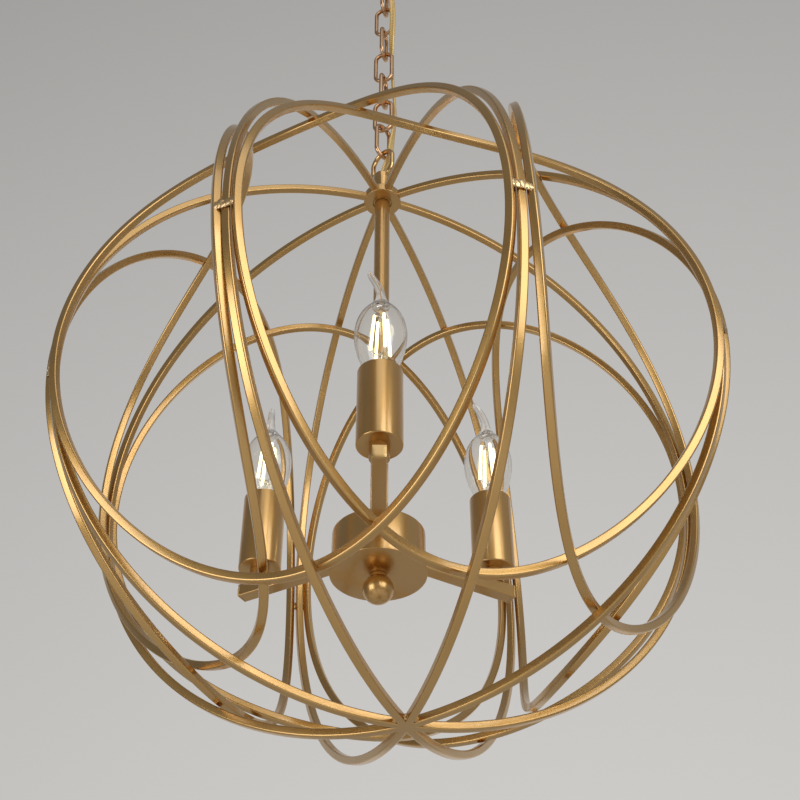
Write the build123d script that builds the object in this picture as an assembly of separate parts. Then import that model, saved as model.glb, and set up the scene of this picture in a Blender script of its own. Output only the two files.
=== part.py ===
from build123d import *
from math import cos, pi, radians, sin, sqrt, tan
import os

# A globe cage lantern that hangs on a chain: eight square bar ribs, eight bent rings, three candle lamps.
# Millimetres, +Z up. The origin is the middle of the canopy where it meets the ceiling.
# An azimuth of 0 points along -Y and grows towards +X.

# Canopy and bracket
canopy_radius = 50.0
canopy_height = 28.0
canopy_wall = 1.2
bracket_length = 86.0
bracket_width = 18.0
bracket_thickness = 2.5
ceiling_screw_spacing = 70.0
ceiling_screw_radius = 2.25

# M10 nipples, with the play of a thread
nipple_radius = 4.95
nipple_hole_radius = 5.0
core_bore_radius = 1.6
nut_flats = 14.0
nut_height = 5.0
thread_depth = 13.0

# The oval loops at both ends of the chain
loop_width = 28.0
loop_height = 37.0
loop_wire = 4.5
loop_base_radius = 6.0
loop_shoulder_radius = 8.0
loop_base_height = 26.8
loop_ring_start = 23.8
loop_cord_radius = 2.6
loop_reach = loop_ring_start + loop_height - loop_wire

# Chain
link_count = 8
link_length = 45.5
link_width = 20.0
link_wire = 4.0
link_play = 0.05
link_pitch = link_length - 2 * link_wire - link_play
link_inner_half = link_length / 2 - link_wire
chain_turn = -17.0
bottom_link_turn = 45.0

# Hub at the top of the cage, measured from the hub's middle plane
disc_radius = 16.0
disc_thickness = 8.0
recess_radius = 8.2
recess_depth = 2.0
washer_radius = 7.6
washer_thickness = 1.6

# Heights that follow from the hanging chain
canopy_bottom = -canopy_height
upper_contact = canopy_bottom - loop_reach
first_link = upper_contact + link_play - link_inner_half
last_link = first_link - (link_count - 1) * link_pitch
lower_contact = last_link - link_inner_half
hub_loop_base = lower_contact + link_play - loop_reach
hub_z = hub_loop_base - disc_thickness / 2

# Cage of square bars on a sphere
bar = 6.0
cage_radius = 250.0
cage_turn = -3.4
cage_lean_x = -0.26
cage_lean_y = -2.13
rib_spacing = 45.0
first_rib = -157.5
rib_turns = [-0.5, 1.0, -0.5, 1.0, -1.5, -0.5, 0.0, 1.0]
ring_centre = -2.2
ring_rises = [1.5, 2.0, -5.0, -0.5, -2.0, -0.5, 0.0, 4.0]
ring_half_heights = [200.4, 200.4, 200.4, 203.7, 200.4, 200.4, 200.4, 200.9]
ring_side_gap = 1.5
ring_side_depth = -1.5
ring_top_depths = [17.4, 7.5, 18.0, 7.5, 18.4, 7.5, 17.8, 7.5]
ring_top_skews = [0.0, 0.0, -2.0, 0.0, 1.5, 0.0, 0.0, 0.0]
ring_bottom_depths = [17.8, 7.4, 18.8, 7.5, 17.4, 7.5, 17.8, 7.5]
ring_bottom_skews = [0.0, 0.0, 0.0, 6.0, 0.0, 0.0, 0.0, 0.0]
ring_points = 32
bead_radius = 2.4
bead_length = 16.0
bead_height = -13.0
crotch_weld_radius = 10.5
crotch_weld_height = 4.0

# Stem, drum and finial, measured down from the hub plane
rod_radius = 6.5
rod_bore_radius = 5.0
rod_top = -disc_thickness / 2 + recess_depth
rod_bottom = -353.3
drum_radius = 33.0
drum_wall = 1.2
drum_bottom = -386.0
cover_radius = 34.0
cover_thickness = 1.2
finial_radius = 10.8
finial_centre = -398.5
finial_neck_radius = 6.0
finial_gap = 0.05
drum_nipple_bottom = -393.0

# Arms and lamps, measured down from the hub plane
arm_azimuths = [0.0, -120.0, 120.0]
arm_side = 10.0
arm_wall = 1.0
arm_top = -361.5
arm_inner_end = 20.0
arm_reaches = [113.5, 115.5, 113.0]
arm_plate = 1.2
arm_clearance = 0.05
lamp_radii = [98.0, 101.0, 98.0]
collar_radius = 7.0
small_nipple_radius = 4.0
small_nipple_bottom = -368.0
small_nipple_top = -340.0
small_bore_radius = 2.8
cup_radius = 15.75
cup_wall = 1.0
cup_bottom = -351.0
cup_top = -288.0
holder_radius = 12.5
holder_top = -296.0
holder_bore_radius = 7.2
holder_bore_bottom = -320.0
holder_foot_depth = 12.0
contact_gap = 0.4

# Bulbs, measured up from where the glass meets the cap
bulb_seat = -289.0
cap_radius = 6.9
cap_length = 22.0
cap_shell = 0.6
cap_button_radius = 2.4
cap_button_length = 2.0
glass_seat_radius = 8.2
glass_wall = 1.0
bulb_tails = [-90.0, -175.0, -95.0]

# Power cord, a twin flex: points from the hub nipple up to the canopy nipple, heights above the hub plane
cord_radius = 2.1
cord_route = [
    (0.0, 0.0, disc_thickness / 2 + thread_depth),
    (0.0, 0.0, 36.0),
    (3.5, -1.3, 47.0),
    (6.4, -0.1, 58.0),
    (7.2, 0.3, 72.0),
    (8.6, 1.2, 88.0),
    (10.4, 2.2, 106.0),
    (11.4, 3.0, 124.0),
    (10.4, 3.4, 142.0),
    (9.0, 3.2, 164.0),
    (8.2, 2.9, 189.0),
    (7.8, 2.9, 212.0),
    (7.4, -1.9, 227.0),
    (7.9, -6.6, 242.0),
    (8.4, -7.0, 262.0),
    (8.0, -6.9, 282.0),
    (6.8, -6.6, 302.0),
    (6.0, -6.4, 322.0),
    (5.6, -6.4, 342.0),
    (4.6, -6.3, 359.0),
    (2.6, -4.0, 371.0),
    (0.0, 0.0, 382.0),
    (0.0, 0.0, canopy_bottom - thread_depth - hub_z),
]


def direction(azimuth):
    a = radians(azimuth)
    return Vector(sin(a), -cos(a), 0)


def upright(radius, low, high):
    return Pos(0, 0, (low + high) / 2) * Cylinder(radius, high - low)


def pipe(radius, bore, low, high):
    return upright(radius, low, high) - upright(bore, low - 1, high + 1)


def hex_nut(low):
    prism = extrude(RegularPolygon(nut_flats / 2, 6, major_radius=False), nut_height)
    return Pos(0, 0, low) * prism - upright(nipple_hole_radius, low - 1, low + nut_height + 1)


def turned(points):
    """A solid of revolution about Z from an outline of (radius, height) points."""
    outline = Polyline([(r, 0, z) for r, z in points], close=True)
    return revolve(make_face(outline), Axis.Z, 360)


def write(shape, name):
    export_step(shape, f"parts/{name}.step")
    solids = shape.solids()
    print(f"{name}: {len(solids)} solids, {sum(s.volume for s in solids):.0f} mm3")


def from_hub(shape):
    return Pos(0, 0, hub_z) * shape


# Canopy side
def canopy():
    cup = upright(canopy_radius, -canopy_height, 0)
    cup = fillet(cup.edges().group_by(Axis.Z)[0], 6.0)
    inside = upright(canopy_radius - canopy_wall, -canopy_height + canopy_wall, 1)
    inside = fillet(inside.edges().group_by(Axis.Z)[0], 6.0 - canopy_wall)
    return cup - inside - upright(nipple_hole_radius, -canopy_height - 1, 0)


def ceiling_bracket():
    strip = Pos(0, 0, -bracket_thickness / 2) * Box(bracket_length, bracket_width, bracket_thickness)
    strip = fillet(strip.edges().filter_by(Axis.Z), 4.0)
    for side in (-1, 1):
        x = side * ceiling_screw_spacing / 2
        strip -= Pos(x, 0, 0) * Cylinder(ceiling_screw_radius, 4 * bracket_thickness)
    return strip - Cylinder(nipple_hole_radius, 4 * bracket_thickness)


def terminal_block():
    width, length, height = 14.0, 30.0, 12.0
    block = Box(width, length, height)
    for i in (-1, 0, 1):
        block -= Pos(0, 10.0 * i, 0) * Rot(0, 90, 0) * Cylinder(1.9, width + 2)
        block -= Pos(0, 10.0 * i, -height / 2) * Cylinder(1.7, 5.0)
    return Pos(20.0, 0, -bracket_thickness - height / 2) * block


def oval_ring(width, height, wire):
    """An oval of round wire in the XZ plane, centred on the origin."""
    bend = (width - wire) / 2
    straight = height - width
    torus = Rot(90, 0, 0) * Torus(bend, wire / 2)
    top = split(torus, bisect_by=Plane.XY, keep=Keep.TOP)
    bottom = split(torus, bisect_by=Plane.XY, keep=Keep.BOTTOM)
    ring = Pos(0, 0, straight / 2) * top + Pos(0, 0, -straight / 2) * bottom
    for side in (-1, 1):
        ring += Pos(side * bend, 0, 0) * Cylinder(wire / 2, straight)
    return ring


def screw_loop():
    """The loop stands on z = 0 with its ring in the XZ plane."""
    boss = turned([
        (0, 0),
        (loop_base_radius, 0),
        (loop_base_radius, 8.0),
        (loop_shoulder_radius, loop_ring_start),
        (loop_shoulder_radius, loop_base_height),
        (0, loop_base_height),
    ])
    ring_middle = loop_ring_start + loop_height / 2
    loop = boss + Pos(0, 0, ring_middle) * oval_ring(loop_width, loop_height, loop_wire)
    loop -= upright(loop_cord_radius, -1, loop_base_height + loop_wire)
    return loop - upright(nipple_hole_radius, -1, thread_depth)


def chain_links():
    links = []
    for i in range(link_count):
        turn = chain_turn if i % 2 == 0 else chain_turn + 90
        if i == link_count - 1:
            turn = bottom_link_turn
        link = oval_ring(link_width, link_length, link_wire)
        links.append(Pos(0, 0, first_link - i * link_pitch) * Rot(0, 0, turn) * link)
    return links


def corner_radii(points):
    radii = []
    for a, b, c in zip(points, points[1:], points[2:]):
        before, after = b - a, c - b
        turn = radians(before.get_angle(after))
        radii.append(0.45 * min(before.length, after.length) / tan(turn / 2))
    return radii


def power_cord():
    points = [Vector(x, y, z + hub_z) for x, y, z in cord_route]
    radii = corner_radii(points)
    print("cord radii:", [round(r) for r in radii])
    path = FilletPolyline(*points, radius=radii)
    cord = sweep(Plane(points[0], z_dir=points[1] - points[0]) * Circle(cord_radius), path)
    expected = pi * cord_radius ** 2 * path.length
    print(f"cord length {path.length:.1f} mm, volume ratio {cord.volume / expected:.4f}")
    return cord


# Cage, in its own frame with the origin in the middle of the hub
def rib_azimuth(k):
    """The azimuth of rib k, where k may run on past either end of the circle."""
    turns, i = divmod(k, 8)
    return first_rib + rib_spacing * i + 360 * turns + rib_turns[i] + cage_turn


def outward(azimuth, shape):
    """Turns a shape whose +X points outward to an azimuth."""
    return Rot(0, 0, azimuth - 90) * shape


def hung(shape):
    """Moves a shape from the cage's frame to its place under the canopy."""
    return Pos(0, 0, hub_z) * Rot(cage_lean_x, cage_lean_y, 0) * shape


def full_hoop(azimuth):
    hoop = Cylinder(cage_radius + bar / 2, bar) - Cylinder(cage_radius - bar / 2, bar)
    return Pos(0, 0, -cage_radius) * outward(azimuth, Rot(90, 0, 0) * hoop)


def wedge(low, high):
    """The space between two azimuths, as a prism with its edge on the cage's axis."""
    far = 2 * cage_radius
    base = make_face(Polyline((0, 0, 0), far * direction(low), far * direction(high), close=True))
    return Pos(0, 0, -far - bar) * extrude(base, amount=far + 3 * bar, dir=(0, 0, 1))


def rib(k):
    azimuth = rib_azimuth(k)
    low = (rib_azimuth(k - 1) + azimuth) / 2
    high = (rib_azimuth(k + 1) + azimuth) / 2
    bar_half = full_hoop(azimuth) & wedge(low, high)
    return hung(bar_half) - from_hub(upright(disc_radius, -2 * disc_thickness, 2 * disc_thickness))


def ring_curve(k):
    """The centre line of ring k: a function of an angle, about the sphere's centre, +X outward."""
    half = radians(rib_azimuth(k + 1) - rib_azimuth(k - 1)) / 2
    side = (cage_radius - ring_side_depth) * sin(half - (bar + ring_side_gap) / cage_radius)
    top = ring_top_depths[k], ring_top_skews[k]
    bottom = ring_bottom_depths[k], ring_bottom_skews[k]

    def point(t):
        end_depth, skew = top if cos(t) > 0 else bottom
        lateral = side * sin(t)
        height = ring_centre + ring_rises[k] + ring_half_heights[k] * cos(t)
        depth = ring_side_depth * sin(t) ** 2 + (end_depth - skew * sin(t)) * cos(t) ** 2
        out = sqrt((cage_radius - depth) ** 2 - lateral ** 2 - height ** 2)
        return Vector(out, lateral, height)

    return point


def ring_bar(k):
    """A square bar along the ring's centre line with its faces square to the ring's own axis."""
    point = ring_curve(k)
    small = 1e-4
    corners = [(1, 1), (1, -1), (-1, -1), (-1, 1)]
    lines = [[] for _ in corners]
    for j in range(ring_points):
        t = 2 * pi * j / ring_points
        centre = point(t)
        along = (point(t + small) - point(t - small)).normalized()
        across = along.cross(Vector(1, 0, 0)).normalized()
        out = across.cross(along)
        for line, (u, v) in zip(lines, corners):
            line.append(centre + out * (u * bar / 2) + across * (v * bar / 2))
    edges = [Edge.make_spline(line, periodic=True) for line in lines]
    faces = [Face.make_surface_from_curves(edges[i], edges[(i + 1) % 4]) for i in range(4)]
    middle = (rib_azimuth(k - 1) + rib_azimuth(k + 1)) / 2
    return Pos(0, 0, -cage_radius) * outward(middle, Solid(Shell(faces)))


def weld_bead(k, rings):
    """A bead across rib k and the two ring sides beside it, cut to sit on the bars."""
    bead = Pos(cage_radius + bar / 2, 0, bead_height) * Rot(90, 0, 0) * Cylinder(bead_radius, bead_length)
    bead = Pos(0, 0, -cage_radius) * outward(rib_azimuth(k), bead)
    bead = bead - full_hoop(rib_azimuth(k)) - rings[(k - 1) % 8] - rings[(k + 1) % 8]
    return max(bead.solids(), key=lambda s: s.volume)


def crotch_welds():
    """What fills the narrow angles where the eight ribs meet at the bottom."""
    weld = Pos(0, 0, -2 * cage_radius) * Cylinder(crotch_weld_radius, crotch_weld_height)
    for k in range(8):
        weld -= full_hoop(rib_azimuth(k)) & wedge(rib_azimuth(k) - 60, rib_azimuth(k) + 60)
    return weld.solids()


# Hub and stem, in heights from the hub plane
def hub_disc():
    half = disc_thickness / 2
    disc = upright(disc_radius, -half, half)
    disc = fillet(disc.edges().group_by(Axis.Z)[-1] + disc.edges().group_by(Axis.Z)[0], 0.8)
    disc -= upright(recess_radius, -half - 1, rod_top)
    return disc - upright(nipple_hole_radius, -disc_thickness, disc_thickness)


def drum_shell():
    shell = upright(drum_radius, drum_bottom, rod_bottom)
    shell = fillet(shell.edges().group_by(Axis.Z)[-1], 1.0)
    shell -= upright(drum_radius - drum_wall, drum_bottom - 1, rod_bottom - drum_wall)
    shell -= upright(nipple_hole_radius, rod_bottom - 5, rod_bottom + 1)
    opening = arm_side + 2 * arm_clearance
    for azimuth in arm_azimuths:
        shell -= outward(azimuth, Pos(drum_radius, 0, arm_top - arm_side / 2) * Box(20, opening, opening))
    return shell


def finial():
    top = drum_bottom - cover_thickness - finial_gap
    ball = Pos(0, 0, finial_centre) * Sphere(finial_radius)
    ball += upright(finial_neck_radius, finial_centre + finial_radius / 2, top)
    return ball - upright(nipple_hole_radius, drum_nipple_bottom - 0.5, top + 1)


# Arms and lamps, built outward along +X
def arm(reach, lamp_radius):
    length = reach - arm_plate - arm_inner_end
    middle = Pos(arm_inner_end + length / 2, 0, arm_top - arm_side / 2)
    inner = arm_side - 2 * arm_wall
    tube = middle * Box(length, arm_side, arm_side) - middle * Box(length + 2, inner, inner)
    hole = upright(small_nipple_radius, arm_top - 2 * arm_wall, arm_top + 1)
    return tube - Pos(lamp_radius, 0, 0) * hole


def arm_end_plate(reach):
    place = Pos(reach - arm_plate / 2, 0, arm_top - arm_side / 2)
    plate = Box(arm_plate, arm_side, arm_side)
    return place * fillet(plate.edges().filter_by(Axis.X), 1.0)


def cup():
    shell = upright(cup_radius, cup_bottom, cup_top)
    shell = fillet(shell.edges().group_by(Axis.Z)[0], 0.8)
    shell -= upright(cup_radius - cup_wall, cup_bottom + cup_wall, cup_top + 1)
    return shell - upright(small_nipple_radius, cup_bottom - 1, cup_bottom + 2)


def lampholder():
    low = cup_bottom + cup_wall
    body = upright(holder_radius, low, holder_top)
    body = fillet(body.edges().group_by(Axis.Z)[-1], 1.5)
    body -= upright(holder_bore_radius, holder_bore_bottom, holder_top + 1)
    return body - upright(small_nipple_radius, low - 1, low + holder_foot_depth)


def holder_contact():
    button_bottom = bulb_seat - cap_length - cap_button_length
    post = upright(2.0, holder_bore_bottom, button_bottom - contact_gap)
    return post + upright(5.0, holder_bore_bottom, holder_bore_bottom + 1.0)


# Bulb, in heights from where the glass meets the cap, its bent tail towards +X
def bulb_cap():
    shell = upright(cap_radius, -cap_length, 0) - upright(cap_radius - cap_shell, -cap_length + 2, 1)
    return shell + upright(cap_button_radius, -cap_length - cap_button_length, -cap_length)


def glass_form(inset):
    """The globe without its tail, as a solid whose side is set in from the outside by a distance."""
    side = Spline(
        (glass_seat_radius - inset, 0, 0),
        (12.6 - inset, 0, 9),
        (16.6 - inset, 0, 20),
        (18.7 - inset, 0, 36),
        (16.2 - inset, 0, 50.5 - inset / 2),
        (10.0 - inset, 0, 61 - inset),
        (5.0 - inset, 0, 68.5 - 2 * inset),
    )
    low, high = side @ 0, side @ 1
    edges = [side, Line(high, (0, 0, high.Z)), Line((0, 0, high.Z), (0, 0, low.Z)), Line((0, 0, low.Z), low)]
    return revolve(make_face(edges), Axis.Z, 360)


def glass_tail():
    """Sections of the drawn tail: offset, height, radius and tilt."""
    sections = [(0, 68.5, 5.0, 0), (0.4, 77, 3.2, 8), (2.6, 85, 2.7, 22), (5.6, 91.5, 2.4, 28), (8.2, 97, 1.5, 32)]
    circles = []
    for offset, height, radius, tilt in sections:
        a = radians(tilt)
        circles.append(Plane((offset, 0, height), z_dir=(sin(a), 0, cos(a))) * Circle(radius))
    return loft(circles)


def bulb_glass():
    return glass_form(0) - glass_form(glass_wall) + glass_tail()


def bulb_filaments():
    """The stem that is sealed into the neck, and four light sticks on it."""
    parts = upright(6.8, 0.3, 1.5) + upright(2.0, 1.0, 20.0) + upright(8.6, 19.2, 20.0) + upright(6.2, 53.4, 54.2)
    for i in range(4):
        parts += Rot(0, 0, 45 + 90 * i) * Pos(6.3, 0, 36.8) * Rot(0, -4.5, 0) * Cylinder(0.8, 34)
    return parts


def main():
    os.makedirs("parts", exist_ok=True)
    print(f"hub plane {hub_z:.2f}, last link {last_link:.2f}, first link {first_link:.2f}")

    write(ceiling_bracket(), "ceiling_bracket")
    write(canopy(), "canopy")
    write(pipe(nipple_radius, core_bore_radius, canopy_bottom - thread_depth, -0.5), "canopy_nipple")
    write(hex_nut(-bracket_thickness - nut_height), "bracket_nut")
    write(terminal_block(), "terminal_block")
    write(Pos(0, 0, canopy_bottom) * Rot(0, 0, chain_turn + 90) * Rot(180, 0, 0) * screw_loop(), "canopy_loop")
    write(Compound(children=chain_links()), "chain_links")
    write(power_cord(), "power_cord")

    write(Pos(0, 0, hub_loop_base) * Rot(0, 0, bottom_link_turn + 90) * screw_loop(), "hub_loop")
    low = -disc_thickness / 2 - thread_depth + recess_depth
    write(from_hub(pipe(nipple_radius, core_bore_radius, low, disc_thickness / 2 + thread_depth)), "hub_nipple")
    write(from_hub(hub_disc()), "hub_disc")
    write(from_hub(pipe(washer_radius, rod_radius, rod_top - washer_thickness, rod_top)), "rod_washer")
    write(from_hub(pipe(rod_radius, rod_bore_radius, rod_bottom, rod_top)), "down_rod")

    rings = [ring_bar(k) for k in range(8)]
    for k in range(8):
        write(rib(k), f"cage_rib_{k + 1}")
        write(hung(rings[k]), f"cage_ring_{k + 1}")
    write(hung(Compound(children=[weld_bead(k, rings) for k in range(8)])), "cage_welds")
    write(hung(Compound(children=crotch_welds())), "bottom_weld")

    write(from_hub(drum_shell()), "drum_shell")
    cover = pipe(cover_radius, nipple_hole_radius, drum_bottom - cover_thickness, drum_bottom)
    write(from_hub(cover), "drum_cover")
    write(from_hub(pipe(nipple_radius, core_bore_radius, drum_nipple_bottom, rod_bottom + thread_depth)), "drum_nipple")
    nuts = [hex_nut(rod_bottom - drum_wall - nut_height), hex_nut(drum_bottom)]
    write(from_hub(Compound(children=nuts)), "drum_nuts")
    write(from_hub(finial()), "finial")

    plates, collars, nipples, contacts = [], [], [], []
    for i, azimuth in enumerate(arm_azimuths):
        n = i + 1
        reach, lamp_radius = arm_reaches[i], lamp_radii[i]

        def placed(shape):
            return from_hub(outward(azimuth, shape))

        def on_lamp(shape):
            return placed(Pos(lamp_radius, 0, 0) * shape)

        def on_bulb(shape):
            spot = lamp_radius * direction(azimuth)
            return from_hub(Pos(spot.X, spot.Y, bulb_seat) * outward(bulb_tails[i], shape))

        write(placed(arm(reach, lamp_radius)), f"arm_{n}")
        write(on_lamp(cup()), f"cup_{n}")
        write(on_lamp(lampholder()), f"lampholder_{n}")
        write(on_bulb(bulb_cap()), f"bulb_cap_{n}")
        write(on_bulb(bulb_glass()), f"bulb_glass_{n}")
        write(on_bulb(bulb_filaments()), f"bulb_filaments_{n}")
        plates.append(placed(arm_end_plate(reach)))
        collars.append(on_lamp(pipe(collar_radius, small_nipple_radius, arm_top, cup_bottom)))
        nipples.append(on_lamp(pipe(small_nipple_radius, small_bore_radius, small_nipple_bottom, small_nipple_top)))
        contacts.append(on_lamp(holder_contact()))
    write(Compound(children=plates), "arm_end_plates")
    write(Compound(children=collars), "cup_collars")
    write(Compound(children=nipples), "cup_nipples")
    write(Compound(children=contacts), "holder_contacts")


main()
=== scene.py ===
from math import asin, cos, pi, radians, sin, sqrt

import bmesh
import bpy
from mathutils import Matrix, Vector, noise


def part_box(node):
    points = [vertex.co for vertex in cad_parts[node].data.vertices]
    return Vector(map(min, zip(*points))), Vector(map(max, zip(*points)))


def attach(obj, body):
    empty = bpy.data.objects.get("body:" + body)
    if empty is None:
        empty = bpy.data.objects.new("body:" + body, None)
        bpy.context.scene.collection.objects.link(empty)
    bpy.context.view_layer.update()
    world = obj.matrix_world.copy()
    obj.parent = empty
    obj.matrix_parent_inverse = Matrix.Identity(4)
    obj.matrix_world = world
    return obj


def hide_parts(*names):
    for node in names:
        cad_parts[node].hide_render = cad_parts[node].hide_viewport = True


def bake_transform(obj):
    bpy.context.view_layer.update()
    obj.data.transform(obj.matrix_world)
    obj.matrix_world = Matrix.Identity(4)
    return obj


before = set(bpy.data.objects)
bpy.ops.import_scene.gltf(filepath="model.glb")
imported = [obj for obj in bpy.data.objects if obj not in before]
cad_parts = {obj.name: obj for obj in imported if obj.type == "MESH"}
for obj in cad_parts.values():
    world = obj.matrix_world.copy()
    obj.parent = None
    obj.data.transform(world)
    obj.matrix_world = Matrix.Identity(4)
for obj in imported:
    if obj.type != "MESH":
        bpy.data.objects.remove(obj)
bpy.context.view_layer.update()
mm = 0.001    # shapes are drawn in millimetres and brought to metres when a piece is made


def middleOf(node):
    low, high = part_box(node)
    return (Vector(low) + Vector(high)) / 2 / mm


def outlineOf(node):
    # the radius, lowest and highest level of a turned part
    low, high = [Vector(corner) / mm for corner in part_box(node)]
    return (high.x - low.x) / 2, low.z, high.z


hubMiddle = middleOf("hub_disc")
print("frame loaded, hub plane at", round(hubMiddle.z, 2), "mm")


# Camera, as the photograph was taken: from the floor, looking up
viewpoint = {
    "place": (0.001376, -0.78957, -1.33825),
    "yaw": 1.0,
    "pitch": 40.12,
    "roll": -0.09,
    "lens": 60.66,
}


def addObject(name, data):
    added = bpy.data.objects.new(name, data)
    bpy.context.collection.objects.link(added)
    return added


def makeCamera():
    yaw, pitch, roll = [radians(viewpoint[key]) for key in ("yaw", "pitch", "roll")]
    ahead = Vector((sin(yaw) * cos(pitch), cos(yaw) * cos(pitch), sin(pitch)))
    level = Vector((cos(yaw), -sin(yaw), 0))
    right = cos(roll) * level + sin(roll) * level.cross(ahead)
    upward = right.cross(ahead)
    data = bpy.data.cameras.new("roomCamera")
    data.lens = viewpoint["lens"]
    data.sensor_width = 36.0
    data.clip_end = 60.0
    camera = addObject("roomCamera", data)
    turn = Matrix((right, upward, -ahead)).transposed()
    camera.matrix_world = Matrix.Translation(viewpoint["place"]) @ turn.to_4x4()
    bpy.context.scene.camera = camera


makeCamera()
bpy.context.scene.view_settings.view_transform = "Standard"


# Node helpers, shared by the finishes and the geometry trees
def addNode(tree, kind, settings=None, inputs=None):
    # an input is another node's output or a plain constant
    node = tree.nodes.new(kind)
    for name, value in (settings or {}).items():
        setattr(node, name, value)
    for name, value in (inputs or {}).items():
        if isinstance(value, bpy.types.NodeSocket):
            tree.links.new(value, node.inputs[name])
        else:
            node.inputs[name].default_value = value
    return node


def newFinish(name):
    finish = bpy.data.materials.new(name)
    finish.use_nodes = True
    tree = finish.node_tree
    tree.nodes.clear()
    return finish, tree


def colourMix(tree, factor, first, second):
    inputs = {0: factor, 6: first, 7: second}
    return addNode(tree, "ShaderNodeMix", {"data_type": "RGBA"}, inputs).outputs[2]


def spread(tree, value, low, high, fromLow=0.0, fromHigh=1.0):
    settings = {"clamp": True}
    inputs = {"Value": value, "From Min": fromLow, "From Max": fromHigh, "To Min": low, "To Max": high}
    return addNode(tree, "ShaderNodeMapRange", settings, inputs).outputs["Result"]


def mottle(tree, scale, detail=4.0, roughness=0.55, stretch=(1, 1, 1)):
    # soft noise over the object's own metres
    place = addNode(tree, "ShaderNodeTexCoord").outputs["Object"]
    moved = addNode(tree, "ShaderNodeMapping", None, {"Vector": place, "Scale": stretch}).outputs[0]
    inputs = {"Vector": moved, "Scale": scale, "Detail": detail, "Roughness": roughness}
    return addNode(tree, "ShaderNodeTexNoise", None, inputs).outputs["Fac"]


def bumpOf(tree, height, strength, distance, under=None):
    inputs = {"Height": height, "Strength": strength, "Distance": distance}
    if under is not None:
        inputs["Normal"] = under
    return addNode(tree, "ShaderNodeBump", None, inputs).outputs["Normal"]


def closeFinish(finish, inputs):
    tree = finish.node_tree
    shader = addNode(tree, "ShaderNodeBsdfPrincipled", None, inputs).outputs[0]
    addNode(tree, "ShaderNodeOutputMaterial", None, {"Surface": shader})
    return finish


# Gold finishes: satin lacquer with slow tone changes, rare pale specks, faint orange peel and a clear coat
goldCoats = {
    "barGold": {"light": (0.60, 0.37, 0.12), "deep": (0.56, 0.335, 0.10), "gloss": (0.26, 0.30), "peel": 0.01},
    "smoothGold": {"light": (0.6, 0.365, 0.12), "deep": (0.57, 0.34, 0.105), "gloss": (0.28, 0.32), "peel": 0.01},
    "copperGold": {"light": (0.66, 0.4, 0.22), "deep": (0.5, 0.29, 0.14), "gloss": (0.22, 0.32), "peel": 0.05},
    "loopGold": {"light": (0.74, 0.48, 0.19), "deep": (0.58, 0.34, 0.10), "gloss": (0.12, 0.20), "peel": 0.03},
    "plateGold": {"light": (0.66, 0.45, 0.18), "deep": (0.58, 0.38, 0.14), "gloss": (0.30, 0.46), "peel": 0.25},
    "weldGold": {"light": (0.85, 0.64, 0.34), "deep": (0.40, 0.23, 0.09), "gloss": (0.22, 0.44), "peel": 0.35},
}
paint = {
    "toneScale": 14.0,
    "speckScale": 700.0,
    "speckShare": 0.04,
    "speck": (0.90, 0.72, 0.42, 1),
    "glossScale": 40.0,
    "waveScale": 32.0,
    "waveBump": 0.02,
    "peelScale": 900.0,
    "coat": {"Coat Weight": 0.6, "Coat Roughness": 0.14, "Coat IOR": 1.9, "Coat Tint": (1.0, 0.97, 0.88, 1)},
}


def goldFinish(name):
    coat = goldCoats[name]
    finish, tree = newFinish(name)
    tone = spread(tree, mottle(tree, paint["toneScale"], 3.0), 0.0, 1.0, 0.34, 0.66)
    base = colourMix(tree, tone, (*coat["deep"], 1), (*coat["light"], 1))
    speck = spread(tree, mottle(tree, paint["speckScale"], 1.0), 0.0, paint["speckShare"], 0.60, 0.80)
    base = colourMix(tree, speck, base, paint["speck"])
    gloss = spread(tree, mottle(tree, paint["glossScale"], 2.0), *coat["gloss"], 0.35, 0.65)
    wave = bumpOf(tree, mottle(tree, paint["waveScale"], 1.0), paint["waveBump"], 0.0004)
    peel = bumpOf(tree, mottle(tree, paint["peelScale"], 2.0), coat["peel"], 0.0001, wave)
    inputs = {"Base Color": base, "Metallic": 1.0, "Roughness": gloss, "Normal": peel, **paint["coat"]}
    return closeFinish(finish, inputs)


golds = {name: goldFinish(name) for name in goldCoats}


def steelFinish(name, light, deep, roughness):
    # brushed or plated metal that shows only inside the canopy, the drum and the cups
    finish, tree = newFinish(name)
    lines = spread(tree, mottle(tree, 300.0, 4.0, 0.6, (1, 1, 8)), 0.0, 1.0, 0.35, 0.65)
    base = colourMix(tree, lines, deep, light)
    gloss = spread(tree, mottle(tree, 120.0), roughness - 0.06, roughness + 0.08)
    normal = bumpOf(tree, lines, 0.08, 0.0002)
    return closeFinish(finish, {"Base Color": base, "Metallic": 1.0, "Roughness": gloss, "Normal": normal})


def mouldedFinish(name, light, deep, roughness):
    finish, tree = newFinish(name)
    tone = spread(tree, mottle(tree, 90.0), 0.0, 1.0, 0.35, 0.65)
    base = colourMix(tree, tone, deep, light)
    grain = mottle(tree, 1400.0, 2.0)
    gloss = spread(tree, mottle(tree, 200.0), roughness - 0.05, roughness + 0.10)
    normal = bumpOf(tree, grain, 0.12, 0.0002)
    return closeFinish(finish, {"Base Color": base, "Roughness": gloss, "Normal": normal})


zincSteel = steelFinish("zincSteel", (0.72, 0.72, 0.70, 1), (0.52, 0.52, 0.50, 1), 0.34)
contactBrass = steelFinish("contactBrass", (0.85, 0.66, 0.34, 1), (0.66, 0.47, 0.20, 1), 0.28)
capNickel = steelFinish("capNickel", (0.80, 0.78, 0.73, 1), (0.60, 0.57, 0.52, 1), 0.24)
whitePlastic = mouldedFinish("whitePlastic", (0.84, 0.82, 0.77, 1), (0.74, 0.71, 0.65, 1), 0.42)
blackPlastic = mouldedFinish("blackPlastic", (0.035, 0.033, 0.032, 1), (0.018, 0.017, 0.017, 1), 0.40)


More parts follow.
